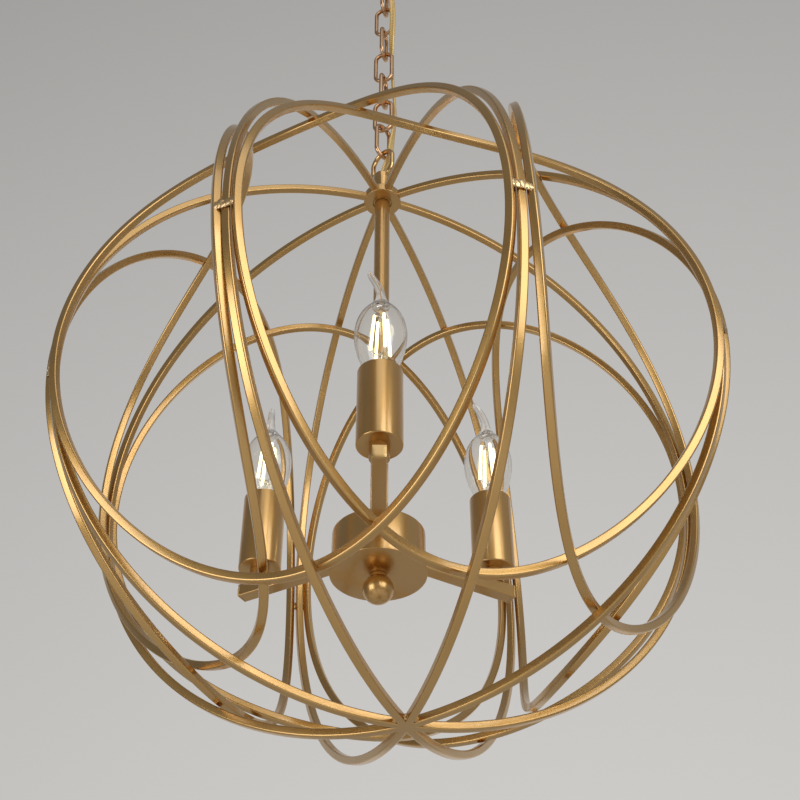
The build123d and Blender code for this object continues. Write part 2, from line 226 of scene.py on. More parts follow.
def glassFinish():
    # thin clear glass with a faint amber cast and slight drawn waves
    finish, tree = newFinish("bulbGlass")
    waves = mottle(tree, 60.0, 2.0, 0.5, (1, 1, 0.4))
    share = spread(tree, waves, 0.0, 1.0, 0.3, 0.7)
    tint = colourMix(tree, share, (0.99, 0.975, 0.94, 1), (1.0, 0.995, 0.98, 1))
    normal = bumpOf(tree, waves, 0.06, 0.0010)
    inputs = {"Base Color": tint, "Roughness": 0.0, "IOR": 1.47, "Transmission Weight": 1.0, "Normal": normal}
    return closeFinish(finish, inputs)


def glowFinish(name, core, fringe, strength):
    # light sticks: pale in the middle of what faces the eye, yellow towards their sides
    finish, tree = newFinish(name)
    rim = addNode(tree, "ShaderNodeLayerWeight", None, {"Blend": 0.45}).outputs["Facing"]
    grain = spread(tree, mottle(tree, 600.0, 2.0), 0.0, 0.25)
    edge = addNode(tree, "ShaderNodeMath", {"operation": "ADD"}, {0: rim, 1: grain}).outputs[0]
    colour = colourMix(tree, edge, core, fringe)
    inputs = {"Base Color": colour, "Roughness": 0.5, "Emission Color": colour, "Emission Strength": strength}
    return closeFinish(finish, inputs)


bulbGlass = glassFinish()
filamentGlow = glowFinish("filamentGlow", (1.0, 0.96, 0.76, 1), (1.0, 0.80, 0.26, 1), 3.0)


def cordFinish():
    # clear amber sleeve over two bundles of fine strands that wind round each other
    finish, tree = newFinish("clearGoldCord")
    along = addNode(tree, "ShaderNodeUVMap", {"uv_map": "alongCord"}).outputs["UV"]
    inputs = {"Vector": along, "Scale": 1.0, "Distortion": 0.6, "Detail": 1.0}
    strands = addNode(tree, "ShaderNodeTexWave", {"bands_direction": "DIAGONAL"}, inputs).outputs["Fac"]
    base = colourMix(tree, strands, (0.50, 0.30, 0.07, 1), (0.92, 0.68, 0.26, 1))
    patch = spread(tree, mottle(tree, 45.0, 2.0), 0.0, 0.45, 0.45, 0.65)
    base = colourMix(tree, patch, base, (0.62, 0.36, 0.12, 1))
    normal = bumpOf(tree, strands, 0.20, 0.0003)
    inputs = {"Base Color": base, "Metallic": 0.45, "Roughness": 0.34, "Normal": normal}
    return closeFinish(finish, {**inputs, "Coat Weight": 0.8, "Coat Roughness": 0.08})


clearGoldCord = cordFinish()
print("finishes mixed")


# Mesh helpers
def drawnMesh(name, bm):
    mesh = bpy.data.meshes.new(name)
    bm.to_mesh(mesh)
    bm.free()
    return mesh


def makePiece(name, bm, finish, body, nodes, smooth=35.0):
    # a drawing in millimetres becomes a finished piece in metres
    bmesh.ops.remove_doubles(bm, verts=bm.verts, dist=0.0005)
    bmesh.ops.recalc_face_normals(bm, faces=bm.faces)
    bm.transform(Matrix.Scale(mm, 4))
    return dressPiece(name, drawnMesh(name, bm), finish, body, nodes, smooth)


def dressPiece(name, mesh, finish, body, nodes, smooth):
    mesh.materials.clear()
    mesh.materials.append(finish)
    mesh.shade_smooth()
    mesh.set_sharp_from_angle(angle=radians(smooth))
    piece = addObject(name, mesh)
    if body:
        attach(piece, body)
    if nodes:
        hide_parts(*nodes)
    return piece


def ringOfPoints(bm, radius, level, count, offset=0.0, tilt=0.0):
    # a circle of vertices, level or tilted, or one vertex on the axis
    if radius < 1e-6:
        return [bm.verts.new((offset, 0, level))]
    ring = []
    for i in range(count):
        a = 2 * pi * i / count
        out, side = radius * cos(a), radius * sin(a)
        ring.append(bm.verts.new((offset + out * cos(tilt), side, level - out * sin(tilt))))
    return ring


def joinRings(bm, rings, closed=False):
    pairs = list(zip(rings, rings[1:]))
    if closed:
        pairs.append((rings[-1], rings[0]))
    for low, high in pairs:
        count = max(len(low), len(high))
        for i in range(count):
            j = (i + 1) % count
            corners = [low[i % len(low)], low[j % len(low)], high[j % len(high)], high[i % len(high)]]
            corners = list(dict.fromkeys(corners))
            if len(corners) > 2:
                bm.faces.new(corners)


def softened(outline, closed, steps=5):
    # each point is (radius, level, corner radius); corners become arcs
    points = []
    count = len(outline)
    for i, (x, z, soft) in enumerate(outline):
        here = Vector((x, z))
        atEnd = not closed and i in (0, count - 1)
        if soft <= 0 or atEnd:
            points.append(here)
            continue
        before = Vector(outline[i - 1][:2]) - here
        after = Vector(outline[(i + 1) % count][:2]) - here
        half = before.angle(after) / 2
        reach = min(soft / max(sin(half) / cos(half), 1e-6), 0.49 * before.length, 0.49 * after.length)
        start, end = here + before.normalized() * reach, here + after.normalized() * reach
        for j in range(steps + 1):
            t = j / steps
            points.append(start * (1 - t) ** 2 + here * 2 * t * (1 - t) + end * t ** 2)
    return points


def settledMesh(holder):
    # the plain mesh that an object's modifiers or curve come to; the object itself goes
    evaluated = holder.evaluated_get(bpy.context.evaluated_depsgraph_get())
    mesh = bpy.data.meshes.new_from_object(evaluated)
    bpy.data.objects.remove(holder)
    return mesh


def addShape(bm, other):
    # joins a second drawing to the first
    spare = drawnMesh("spare", other)
    bm.from_mesh(spare)
    bpy.data.meshes.remove(spare)


def turnedShape(bm, outline, closed=False, segments=96, steps=5):
    # a lathe-turned shape about the Z axis; an open outline starts and ends on the axis
    rings = [ringOfPoints(bm, p.x, p.y, segments) for p in softened(outline, closed, steps)]
    joinRings(bm, rings, closed)


def turnedPiece(name, outline, middle, finish, body, nodes, closed=False, segments=96):
    bm = bmesh.new()
    turnedShape(bm, outline, closed, segments)
    bm.transform(Matrix.Translation(middle))
    makePiece(name, bm, finish, body, nodes)


def towards(azimuth):
    # an azimuth of 0 points to -Y and grows towards +X
    a = radians(azimuth)
    return Vector((sin(a), -cos(a), 0))


def facing(azimuth):
    # turns +X to an azimuth
    return Matrix.Rotation(radians(azimuth - 90), 4, "Z")


# Power cord: a clear twin flex that leaves the hub nipple, follows the chain and enters the canopy
flex = {
    "width": 5.9,
    "thickness": 3.1,
    "groove": 0.30,
    "fullness": 0.22,
    "sectionPoints": 20,
    "strandTurns": 3.0,
    "strandPitch": 4.0,
    "halves": 0.5,
    "flatTurns": [(0, 65), (0.12, 20), (0.30, 80), (0.42, 95), (0.62, 160), (0.80, 190), (1, 175)],
}
hub = hubMiddle.z * mm
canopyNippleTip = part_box("canopy_nipple")[0][2]
cordRoute = [
    (0.0, 0.0, hub + 0.017),
    (0.0, 0.0, hub + 0.036),
    (0.0035, -0.0013, hub + 0.047),
    (0.0064, -0.0001, hub + 0.058),
    (0.0072, 0.0003, hub + 0.072),
    (0.0086, 0.0012, hub + 0.088),
    (0.0104, 0.0022, hub + 0.106),
    (0.0114, 0.0030, hub + 0.124),
    (0.0104, 0.0034, hub + 0.142),
    (0.0090, 0.0032, hub + 0.164),
    (0.0082, 0.0029, hub + 0.189),
    (0.0078, 0.0029, hub + 0.212),
    (0.0074, -0.0019, hub + 0.227),
    (0.0079, -0.0066, hub + 0.242),
    (0.0084, -0.0070, hub + 0.262),
    (0.0080, -0.0069, hub + 0.282),
    (0.0068, -0.0066, hub + 0.302),
    (0.0060, -0.0064, hub + 0.322),
    (0.0056, -0.0064, hub + 0.342),
    (0.0046, -0.0063, hub + 0.359),
    (0.0026, -0.0040, hub + 0.371),
    (0.0, 0.0, hub + 0.382),
    (0.0, 0.0, canopyNippleTip),
]


def readRoute(points):
    data = bpy.data.curves.new("cordRoute", "CURVE")
    data.dimensions = "3D"
    spline = data.splines.new("NURBS")
    spline.points.add(len(points) - 1)
    for target, point in zip(spline.points, points):
        target.co = (*point, 1.0)
    spline.order_u = 3
    spline.use_endpoint_u = True
    spline.resolution_u = 12
    mesh = settledMesh(addObject("cordRoute", data))
    line = [vertex.co.copy() for vertex in mesh.vertices]
    bpy.data.meshes.remove(mesh)
    return line


def flatTurn(share):
    # how far the flat side of the flex has turned at a share of its length
    for (a, first), (b, second) in zip(flex["flatTurns"], flex["flatTurns"][1:]):
        if share <= b:
            t = (share - a) / (b - a)
            t = t * t * (3 - 2 * t)
            return radians(first + (second - first) * t)
    return radians(flex["flatTurns"][-1][1])


def flexSection(a):
    # two round cores side by side with a groove between them
    wide = flex["width"] / 2 * mm
    thin = flex["thickness"] / 2 * mm
    waist = 1 - flex["groove"] * abs(sin(a)) ** 6
    return wide * cos(a), thin * sin(a) * waist * (1 + flex["fullness"] * abs(sin(2 * a)))


def cordHalf(name, line, first, last):
    total = len(line) - 1
    points = flex["sectionPoints"]
    bm = bmesh.new()
    layer = bm.loops.layers.uv.new("alongCord")
    rings = []
    run = 0.0
    runs = []
    for i in range(first, last + 1):
        along = (line[min(i + 1, total)] - line[max(i - 1, 0)]).normalized()
        turn = flatTurn(i / total)
        wide = Vector((cos(turn), sin(turn), 0))
        wide = (wide - along * wide.dot(along)).normalized()
        thin = along.cross(wide)
        ring = []
        for j in range(points):
            u, v = flexSection(2 * pi * j / points)
            ring.append(bm.verts.new(line[i] + wide * u + thin * v))
        if rings:
            run += (line[i] - line[i - 1]).length
        rings.append(ring)
        runs.append(run)
    for i, (low, high) in enumerate(zip(rings, rings[1:])):
        for j in range(points):
            k = (j + 1) % points
            face = bm.faces.new((low[j], low[k], high[k], high[j]))
            ends = [(j, i), (j + 1, i), (j + 1, i + 1), (j, i + 1)]
            for loop, (step, row) in zip(face.loops, ends):
                loop[layer].uv = (flex["strandTurns"] * step / points, runs[row] / mm / flex["strandPitch"])
    bm.faces.new(list(reversed(rings[0])))
    bm.faces.new(rings[-1])
    bmesh.ops.recalc_face_normals(bm, faces=bm.faces)
    mesh = drawnMesh(name, bm)
    return dressPiece(name, mesh, clearGoldCord, None, ["power_cord"], 60.0), run


def makeCord():
    line = readRoute(cordRoute)
    middle = round((len(line) - 1) * flex["halves"])
    lower, lowerRun = cordHalf("powerCordLower", line, 0, middle)
    upper, upperRun = cordHalf("powerCordUpper", line, middle, len(line) - 1)
    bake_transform(lower)
    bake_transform(upper)
    print("cord laid,", round((lowerRun + upperRun) / mm), "mm")


makeCord()


# Geometry trees
def newTree(name, sockets):
    tree = bpy.data.node_groups.new(name, "GeometryNodeTree")
    tree.interface.new_socket("Geometry", in_out="INPUT", socket_type="NodeSocketGeometry")
    for label, kind, value in sockets:
        socket = tree.interface.new_socket(label, in_out="INPUT", socket_type=kind)
        if value is not None:
            socket.default_value = value
    tree.interface.new_socket("Geometry", in_out="OUTPUT", socket_type="NodeSocketGeometry")
    return tree, tree.nodes.new("NodeGroupInput").outputs


def endTree(tree, geometry, material):
    realized = addNode(tree, "GeometryNodeRealizeInstances", None, {"Geometry": geometry}).outputs[0]
    coated = addNode(tree, "GeometryNodeSetMaterial", None, {"Geometry": realized, "Material": material})
    end = tree.nodes.new("NodeGroupOutput")
    tree.links.new(coated.outputs[0], end.inputs[0])


def growMesh(tree, base, values):
    # runs a geometry tree on a base mesh and returns a plain mesh
    holder = addObject("grower", base)
    modifier = holder.modifiers.new("grower", "NODES")
    modifier.node_group = tree
    for item in tree.interface.items_tree:
        if item.in_out == "INPUT" and item.name in values:
            modifier[item.identifier] = values[item.name]
    return settledMesh(holder)


def pathMesh(points, facings, closed):
    # a line of points, each with the way that the bar's outer face looks
    mesh = bpy.data.meshes.new("path")
    edges = [(i, i + 1) for i in range(len(points) - 1)]
    if closed:
        edges.append((len(points) - 1, 0))
    mesh.from_pydata(points, edges, [])
    ways = mesh.attributes.new("outerFace", "FLOAT_VECTOR", "POINT")
    for item, way in zip(ways.data, facings):
        item.vector = way
    return mesh


def vectorNode(tree, operation, *values):
    return addNode(tree, "ShaderNodeVectorMath", {"operation": operation}, dict(enumerate(values)))


def barTree():
    # a bar of square section along the base's line, with its outer face turned the way the line's points say
    tree, given = newTree("squareBar", [
        ("Width", "NodeSocketFloat", 6.0),
        ("Corner radius", "NodeSocketFloat", 0.8),
        ("Finish", "NodeSocketMaterial", None),
    ])
    line = addNode(tree, "GeometryNodeMeshToCurve", None, {"Mesh": given["Geometry"]}).outputs[0]
    along = tree.nodes.new("GeometryNodeInputTangent").outputs[0]
    settings = {"data_type": "FLOAT_VECTOR"}
    stored = addNode(tree, "GeometryNodeInputNamedAttribute", settings, {"Name": "outerFace"})
    way = stored.outputs["Attribute"]
    share = vectorNode(tree, "DOT_PRODUCT", way, along).outputs["Value"]
    scale = {0: along, "Scale": share}
    scaled = addNode(tree, "ShaderNodeVectorMath", {"operation": "SCALE"}, scale).outputs[0]
    upright = vectorNode(tree, "SUBTRACT", way, scaled).outputs[0]
    outward = {"Curve": line, "Normal": vectorNode(tree, "NORMALIZE", upright).outputs[0]}
    line = addNode(tree, "GeometryNodeSetCurveNormal", {"mode": "FREE"}, outward).outputs[0]
    size = {"Width": given["Width"], "Height": given["Width"]}
    square = addNode(tree, "GeometryNodeCurvePrimitiveQuadrilateral", {"mode": "RECTANGLE"}, size).outputs[0]
    soft = {"Curve": square, "Count": 4, "Radius": given["Corner radius"], "Limit Radius": True}
    section = addNode(tree, "GeometryNodeFilletCurve", {"mode": "POLY"}, soft).outputs[0]
    swept = {"Curve": line, "Profile Curve": section, "Fill Caps": True}
    bar = addNode(tree, "GeometryNodeCurveToMesh", None, swept).outputs[0]
    endTree(tree, bar, given["Finish"])
    return tree


# Cage: eight ribs and eight bent rings of square bar on one sphere
cage = {
    "bar": 6.0,
    "cornerRadius": 1.25,
    "radius": 250.0,
    "turn": -3.4,
    "leanX": -0.26,
    "leanY": -2.13,
    "firstRib": -157.5,
    "spacing": 45.0,
    "ribTurns": [-0.5, 1.0, -0.5, 1.0, -1.5, -0.5, 0.0, 1.0],
    "ringCentre": -2.2,
    "ringRises": [1.5, 2.0, -5.0, -0.5, -2.0, -0.5, 0.0, 4.0],
    "ringHalfHeights": [200.4, 200.4, 200.4, 203.7, 200.4, 200.4, 200.4, 200.9],
    "ringSideGap": 1.5,
    "ringSideDepth": -1.5,
    "ringTopDepths": [17.4, 7.5, 18.0, 7.5, 18.4, 7.5, 17.8, 7.5],
    "ringTopSkews": [0.0, 0.0, -2.0, 0.0, 1.5, 0.0, 0.0, 0.0],
    "ringBottomDepths": [17.8, 7.4, 18.8, 7.5, 17.4, 7.5, 17.8, 7.5],
    "ringBottomSkews": [0.0, 0.0, 0.0, 6.0, 0.0, 0.0, 0.0, 0.0],
    "ribPoints": 150,
    "ringPoints": 260,
    "hubReach": 15.4,
}
cagePlace = (
    Matrix.Translation(hubMiddle)
    @ Matrix.Rotation(radians(cage["leanX"]), 4, "X")
    @ Matrix.Rotation(radians(cage["leanY"]), 4, "Y")
)
sphereMiddle = Vector((0, 0, -cage["radius"]))


def ribAzimuth(k):
    turns, i = divmod(k, 8)
    return cage["firstRib"] + cage["spacing"] * i + 360 * turns + cage["ribTurns"][i] + cage["turn"]


def ribLine(k):
    # half a circle from the hub to past the bottom pole
    start = asin(cage["hubReach"] / cage["radius"])
    past = asin(12 / cage["radius"])
    line = []
    for i in range(cage["ribPoints"]):
        t = start + (pi + past - start) * i / (cage["ribPoints"] - 1)
        out = towards(ribAzimuth(k)) * sin(t) * cage["radius"]
        line.append(out + Vector((0, 0, cage["radius"] * (cos(t) - 1))))
    return line, [point - sphereMiddle for point in line]


def ringLine(k):
    # a closed line between the ribs before and after rib k, nearer the middle at its top and bottom;
    # the bar's faces stay square to the ring's own axis
    half = radians(ribAzimuth(k + 1) - ribAzimuth(k - 1)) / 2
    reach = cage["radius"] - cage["ringSideDepth"]
    side = reach * sin(half - (cage["bar"] + cage["ringSideGap"]) / cage["radius"])
    top = cage["ringTopDepths"][k], cage["ringTopSkews"][k]
    bottom = cage["ringBottomDepths"][k], cage["ringBottomSkews"][k]
    turn = facing((ribAzimuth(k - 1) + ribAzimuth(k + 1)) / 2)
    line = []
    for i in range(cage["ringPoints"]):
        t = 2 * pi * i / cage["ringPoints"]
        endDepth, skew = top if cos(t) > 0 else bottom
        lateral = side * sin(t)
        level = cage["ringCentre"] + cage["ringRises"][k] + cage["ringHalfHeights"][k] * cos(t)
        depth = cage["ringSideDepth"] * sin(t) ** 2 + (endDepth - skew * sin(t)) * cos(t) ** 2
        out = sqrt((cage["radius"] - depth) ** 2 - lateral ** 2 - level ** 2)
        line.append(sphereMiddle + turn @ Vector((out, lateral, level)))
    return line, [turn @ Vector((1, 0, 0))] * len(line)


def cutFlat(bm, point, away):
    # cuts off what lies beyond a plane and closes the cut
    everything = bm.verts[:] + bm.edges[:] + bm.faces[:]
    cut = bmesh.ops.bisect_plane(bm, geom=everything, plane_co=point, plane_no=away, clear_outer=True)
    rim = [edge for edge in cut["geom_cut"] if isinstance(edge, bmesh.types.BMEdge)]
    bmesh.ops.edgeloop_fill(bm, edges=rim)


def evenShading(piece):
    # flat faces keep their own light up to the soft corners
    holder = addObject("evener", piece.data)
    weighted = holder.modifiers.new("weighted", "WEIGHTED_NORMAL")
    weighted.keep_sharp = True
    piece.data = settledMesh(holder)


def makeCage():
    tree = barTree()
    values = {"Width": cage["bar"], "Corner radius": cage["cornerRadius"], "Finish": golds["barGold"]}
    for k in range(8):
        for kind, drawn, closed in (("Rib", ribLine(k), False), ("Ring", ringLine(k), True)):
            mesh = growMesh(tree, pathMesh(*drawn, closed), values)
            bm = bmesh.new()
            bm.from_mesh(mesh)
            bmesh.ops.remove_doubles(bm, verts=bm.verts, dist=0.0005)
            if kind == "Rib":
                for other in (k - 1, k + 1):
                    halfway = (ribAzimuth(k) + ribAzimuth(other)) / 2
                    sideward = towards(halfway + (90 if other > k else -90))
                    cutFlat(bm, Vector((0, 0, 0)), sideward)
            bm.transform(cagePlace)
            name = f"cage{kind}{k + 1}"
            node = f"cage_{kind.lower()}_{k + 1}"
            evenShading(makePiece(name, bm, golds["barGold"], "lantern", [node], 30))
    print("cage bars bent")


makeCage()


# Welds: rough lumps across the bars at the equator and in the star at the bottom
welds = {
    "beads": 5,
    "beadRadius": 2.4,
    "beadStray": 1.8,
    "beadSpacing": 16.0 / 5.4,
    "beadLevel": -13.0,
    "crotchRadius": 10.5,
    "crotchHeight": 4.0,
    "roughness": 0.55,
}


def roughLump(bm, place, size, seed):
    # a small closed lump, drawn out along Y, with an uneven skin
    made = bmesh.ops.create_icosphere(bm, subdivisions=3, radius=1.0)
    for vertex in made["verts"]:
        skin = noise.noise(vertex.co * 2.1 + Vector((seed, 3.1 * seed, 0)))
        skin += 0.5 * noise.noise(vertex.co * 5.3 + Vector((0, seed, 7.7 * seed)))
        grown = vertex.co * (1 + welds["roughness"] * 0.5 * skin)
        vertex.co = place @ Vector((grown.x * size[0], grown.y * size[1], grown.z * size[2]))


def makeWelds():
    bm = bmesh.new()
    for k in range(8):
        turn = Matrix.Translation(sphereMiddle) @ facing(ribAzimuth(k))
        for i in range(welds["beads"]):
            along = (i - (welds["beads"] - 1) / 2) * welds["beadSpacing"]
            wobble = noise.noise(Vector((k * 3.7, i * 1.9, 0.5)))
            level = welds["beadLevel"] + welds["beadStray"] * wobble
            spot = (cage["radius"] + cage["bar"] / 2 + 0.4, along, level)
            size = (1.3 + 0.4 * wobble, 2.9, welds["beadRadius"] * (1.5 + 0.6 * wobble))
            roughLump(bm, turn @ Matrix.Translation(spot), size, k * welds["beads"] + i)
    bm.transform(cagePlace)
    makePiece("equatorWelds", bm, golds["weldGold"], "lantern", ["cage_welds"], 60)
    bm = bmesh.new()
    for k in range(8):
        halfway = (ribAzimuth(k) + ribAzimuth(k + 1)) / 2
        turn = Matrix.Translation(2 * sphereMiddle) @ facing(halfway)
        spot = Matrix.Translation((welds["crotchRadius"] - 1.6, 0, 0.3))
        roughLump(bm, turn @ spot, (1.9, 1.5, welds["crotchHeight"] / 2 + 0.3), 50 + k)
    bm.transform(cagePlace)
    makePiece("starWelds", bm, golds["weldGold"], "lantern", ["bottom_weld"], 60)
    print("welds run")


makeWelds()


# Chain and the oval loops at its ends
chain = {
    "links": 8,
    "length": 45.5,
    "width": 20.0,
    "wire": 4.0,
    "play": 0.05,
    "turn": -17.0,
    "bottomTurn": 45.0,
    "bendPoints": 14,
    "wirePoints": 16,
}
loops = {
    "width": 28.0,
    "height": 37.0,
    "wire": 4.5,
    "baseRadius": 6.0,
    "shoulderRadius": 8.0,
    "baseHeight": 26.8,
    "ringStart": 23.8,
    "cordRadius": 2.6,
    "points": 20,
}


def ovalTree():
    # copies of a wire oval down a line, each turned a quarter from the one before, the last by its own angle
    tree, given = newTree("wireOvals", [
        ("Count", "NodeSocketInt", 1),
        ("Pitch", "NodeSocketFloat", 37.45),
        ("Length", "NodeSocketFloat", 45.5),
        ("Width", "NodeSocketFloat", 20.0),
        ("Wire", "NodeSocketFloat", 4.0),
        ("First turn", "NodeSocketFloat", 0.0),
        ("Last turn", "NodeSocketFloat", 0.0),
        ("Bend points", "NodeSocketInt", 14),
        ("Wire points", "NodeSocketInt", 16),
        ("Finish", "NodeSocketMaterial", None),
    ])

    def maths(operation, *values):
        node = addNode(tree, "ShaderNodeMath", {"operation": operation}, dict(enumerate(values)))
        return node.outputs[0]

    wide = maths("SUBTRACT", given["Width"], given["Wire"])
    tall = maths("SUBTRACT", given["Length"], given["Wire"])
    frameCurve = addNode(tree, "GeometryNodeCurvePrimitiveQuadrilateral", None, {"Width": wide, "Height": tall})
    bend = maths("MULTIPLY", wide, 0.4999)
    bends = given["Bend points"]
    soft = {"Curve": frameCurve.outputs[0], "Count": bends, "Radius": bend, "Limit Radius": True}
    oval = addNode(tree, "GeometryNodeFilletCurve", {"mode": "POLY"}, soft).outputs[0]
    size = {"Resolution": given["Wire points"], "Radius": maths("MULTIPLY", given["Wire"], 0.5)}
    section = addNode(tree, "GeometryNodeCurvePrimitiveCircle", None, size)
    swept = {"Curve": oval, "Profile Curve": section.outputs[0]}
    link = addNode(tree, "GeometryNodeCurveToMesh", None, swept).outputs[0]
    upright = {"Geometry": link, "Rotation": (radians(90), 0, 0)}
    link = addNode(tree, "GeometryNodeTransform", None, upright).outputs[0]
    drop = addNode(tree, "ShaderNodeCombineXYZ", None, {"Z": maths("MULTIPLY", given["Pitch"], -1.0)})
    row = {"Count": given["Count"], "Offset": drop.outputs[0]}
    spots = addNode(tree, "GeometryNodeMeshLine", {"mode": "OFFSET"}, row).outputs[0]
    index = tree.nodes.new("GeometryNodeInputIndex").outputs[0]
    quarter = maths("MULTIPLY", maths("MODULO", index, 2.0), 90.0)
    turn = maths("ADD", quarter, given["First turn"])
    atEnd = maths("COMPARE", index, maths("SUBTRACT", given["Count"], 1.0), 0.5)
    change = maths("MULTIPLY", atEnd, maths("SUBTRACT", given["Last turn"], turn))
    angle = maths("RADIANS", maths("ADD", turn, change))
    spin = addNode(tree, "ShaderNodeCombineXYZ", None, {"Z": angle}).outputs[0]
    copies = {"Points": spots, "Instance": link, "Rotation": spin}
    placed = addNode(tree, "GeometryNodeInstanceOnPoints", None, copies).outputs[0]
    endTree(tree, placed, given["Finish"])
    return tree


def growOvals(tree, values):
    return growMesh(tree, bpy.data.meshes.new("start"), values)


def makeChain(tree):
    values = {
        "Count": chain["links"],
        "Pitch": chain["length"] - 2 * chain["wire"] - chain["play"],
        "Length": chain["length"],
        "Width": chain["width"],
        "Wire": chain["wire"],
        "First turn": chain["turn"],
        "Last turn": chain["bottomTurn"],
        "Bend points": chain["bendPoints"],
        "Wire points": chain["wirePoints"],
        "Finish": golds["copperGold"],
    }
    bm = bmesh.new()
    bm.from_mesh(growOvals(tree, values))
    top = outlineOf("chain_links")[2] - chain["length"] / 2
    bm.transform(Matrix.Translation((0, 0, top)))
    makePiece("chainLinks", bm, golds["copperGold"], "chain", ["chain_links"], 50)


def makeLoop(tree, name, node, body, turn, flip):
    # a screwed boss, flared to a shoulder that carries an oval of thicker wire
    bm = bmesh.new()
    base, shoulder, bore = [loops[key] for key in ("baseRadius", "shoulderRadius", "cordRadius")]
    top, ringStart = loops["baseHeight"], loops["ringStart"]
    turnedShape(bm, [
        (bore, 0, 0.3),
        (base, 0, 0.6),
        (base, 7.0, 6.0),
        (shoulder, ringStart - 3.0, 6.0),
        (shoulder + 0.4, top - 0.6, 1.6),
        (bore + 1.2, top + 1.0, 0.8),
        (bore, top - 0.5, 0.4),
    ], True, 48)
    values = {
        "Count": 1,
        "Length": loops["height"],
        "Width": loops["width"],
        "Wire": loops["wire"],
        "Bend points": loops["points"],
        "Wire points": loops["points"],
        "Finish": golds["copperGold"],
    }
    ring = bmesh.new()
    ring.from_mesh(growOvals(tree, values))
    ring.transform(Matrix.Translation((0, 0, ringStart + loops["height"] / 2)))
    addShape(bm, ring)
    _, low, high = outlineOf(node)
    foot = high if flip else low
    way = Matrix.Rotation(pi, 4, "X") if flip else Matrix.Identity(4)
    bm.transform(Matrix.Translation((0, 0, foot)) @ Matrix.Rotation(radians(turn), 4, "Z") @ way)
    makePiece(name, bm, golds["loopGold"], body, [node], 50)


ovals = ovalTree()
makeChain(ovals)
makeLoop(ovals, "canopyLoop", "canopy_loop", "canopy_assembly", chain["turn"] + 90, True)
makeLoop(ovals, "hubLoop", "hub_loop", "lantern", chain["bottomTurn"] + 90, False)
print("chain linked")


# Turned metal: hub, stem, drum and ball
turning = {
    "hubRecess": (8.2, 2.0),
    "bore": 5.0,
    "edge": 0.8,
    "drumWall": 1.2,
    "neckRadius": 6.0,
    "ballPoints": 40,
}


def axisPlace(node):
    # the axis that a turned part stands on
    middle = middleOf(node)
    return (middle.x, middle.y, 0)


def turnedGold(name, outline, node, segments=96, place=(0, 0, 0)):
    # a hollow turned part of the lantern
    turnedPiece(name, outline, place, golds["smoothGold"], "lantern", [node], True, segments)


def makeHub():
    radius, low, high = outlineOf("hub_disc")
    recess, depth = turning["hubRecess"]
    bore, edge = turning["bore"], turning["edge"]
    outline = [(bore, low + depth, 0.1), (recess, low + depth, 0.1), (recess, low, 0.25)]
    outline += [(radius, low, edge), (radius, high, edge), (bore, high, 0.3)]
    turnedGold("hubDisc", outline, "hub_disc")
    radius, low, high = outlineOf("rod_washer")
    rod = outlineOf("down_rod")[0]
    outline = [(rod, low, 0.1), (radius, low, 0.3), (radius, high, 0.3), (rod, high, 0.1)]
    turnedGold("rodWasher", outline, "rod_washer")
    radius, low, high = outlineOf("down_rod")
    outline = [(bore, low, 0), (radius, low, 0.2), (radius, high, 0.2), (bore, high, 0)]
    turnedGold("stemTube", outline, "down_rod")


def makeDrum():
    radius, low, high = outlineOf("drum_shell")
    wall, bore = turning["drumWall"], turning["bore"]
    outline = [
        (radius, low, 0.2),
        (radius, high, 1.6),
        (bore, high, 0.2),
        (bore, high - wall, 0.1),
        (radius - wall, high - wall, 0.8),
        (radius - wall, low, 0.2),
    ]
    turnedGold("drumShell", outline, "drum_shell", 128)
    radius, low, high = outlineOf("drum_cover")
    outline = [(bore, low, 0.1), (radius, low, 0.45), (radius, high, 0.45), (bore, high, 0.1)]
    turnedGold("drumCover", outline, "drum_cover", 128)


def makeBall():
    radius, low, high = outlineOf("finial")
    middle = low + radius
    neck = turning["neckRadius"]
    lift = asin(neck / radius)
    outline = [(0, low, 0)]
    for i in range(1, turning["ballPoints"]):
        t = (pi - lift) * i / (turning["ballPoints"] - 1)
        outline.append((radius * sin(t), middle - radius * cos(t), 0))
    outline += [(neck, high - 0.3, 0), (neck - 0.3, high, 0), (0, high, 0)]
    gold = golds["smoothGold"]
    turnedPiece("ballNut", outline, (0, 0, 0), gold, "ball_nut", ["finial"], False, 72)


makeHub()
makeDrum()
makeBall()
print("hub, stem, drum and ball turned")


# Arms and candle cups
arms = {
    "azimuths": [0.0, -120.0, 120.0],
    "side": 10.0,
    "innerEnd": 20.0,
    "reaches": [113.5, 115.5, 113.0],
    "plate": 1.2,
    "plateEdge": 0.45,
    "plateGrain": 0.9,
    "plateRough": (0.18, 0.12, 0.12),
    "edge": 0.7,
}
cups = {"wall": 1.0, "edge": 1.1, "bore": 4.0, "collar": 7.0, "holderBore": 7.2, "boreBottom": -320.0}


def softBlock(bm, low, high, edge):
    # a block with rounded edges
    made = bmesh.ops.create_cube(bm, size=1.0)
    size = Vector(high) - Vector(low)
    middle = (Vector(high) + Vector(low)) / 2
    for vertex in made["verts"]:
        vertex.co = middle + Vector((vertex.co.x * size.x, vertex.co.y * size.y, vertex.co.z * size.z))
    edges = list({e for v in made["verts"] for e in v.link_edges})
    bmesh.ops.bevel(bm, geom=edges, offset=edge, segments=3, profile=0.5, affect="EDGES", clamp_overlap=True)


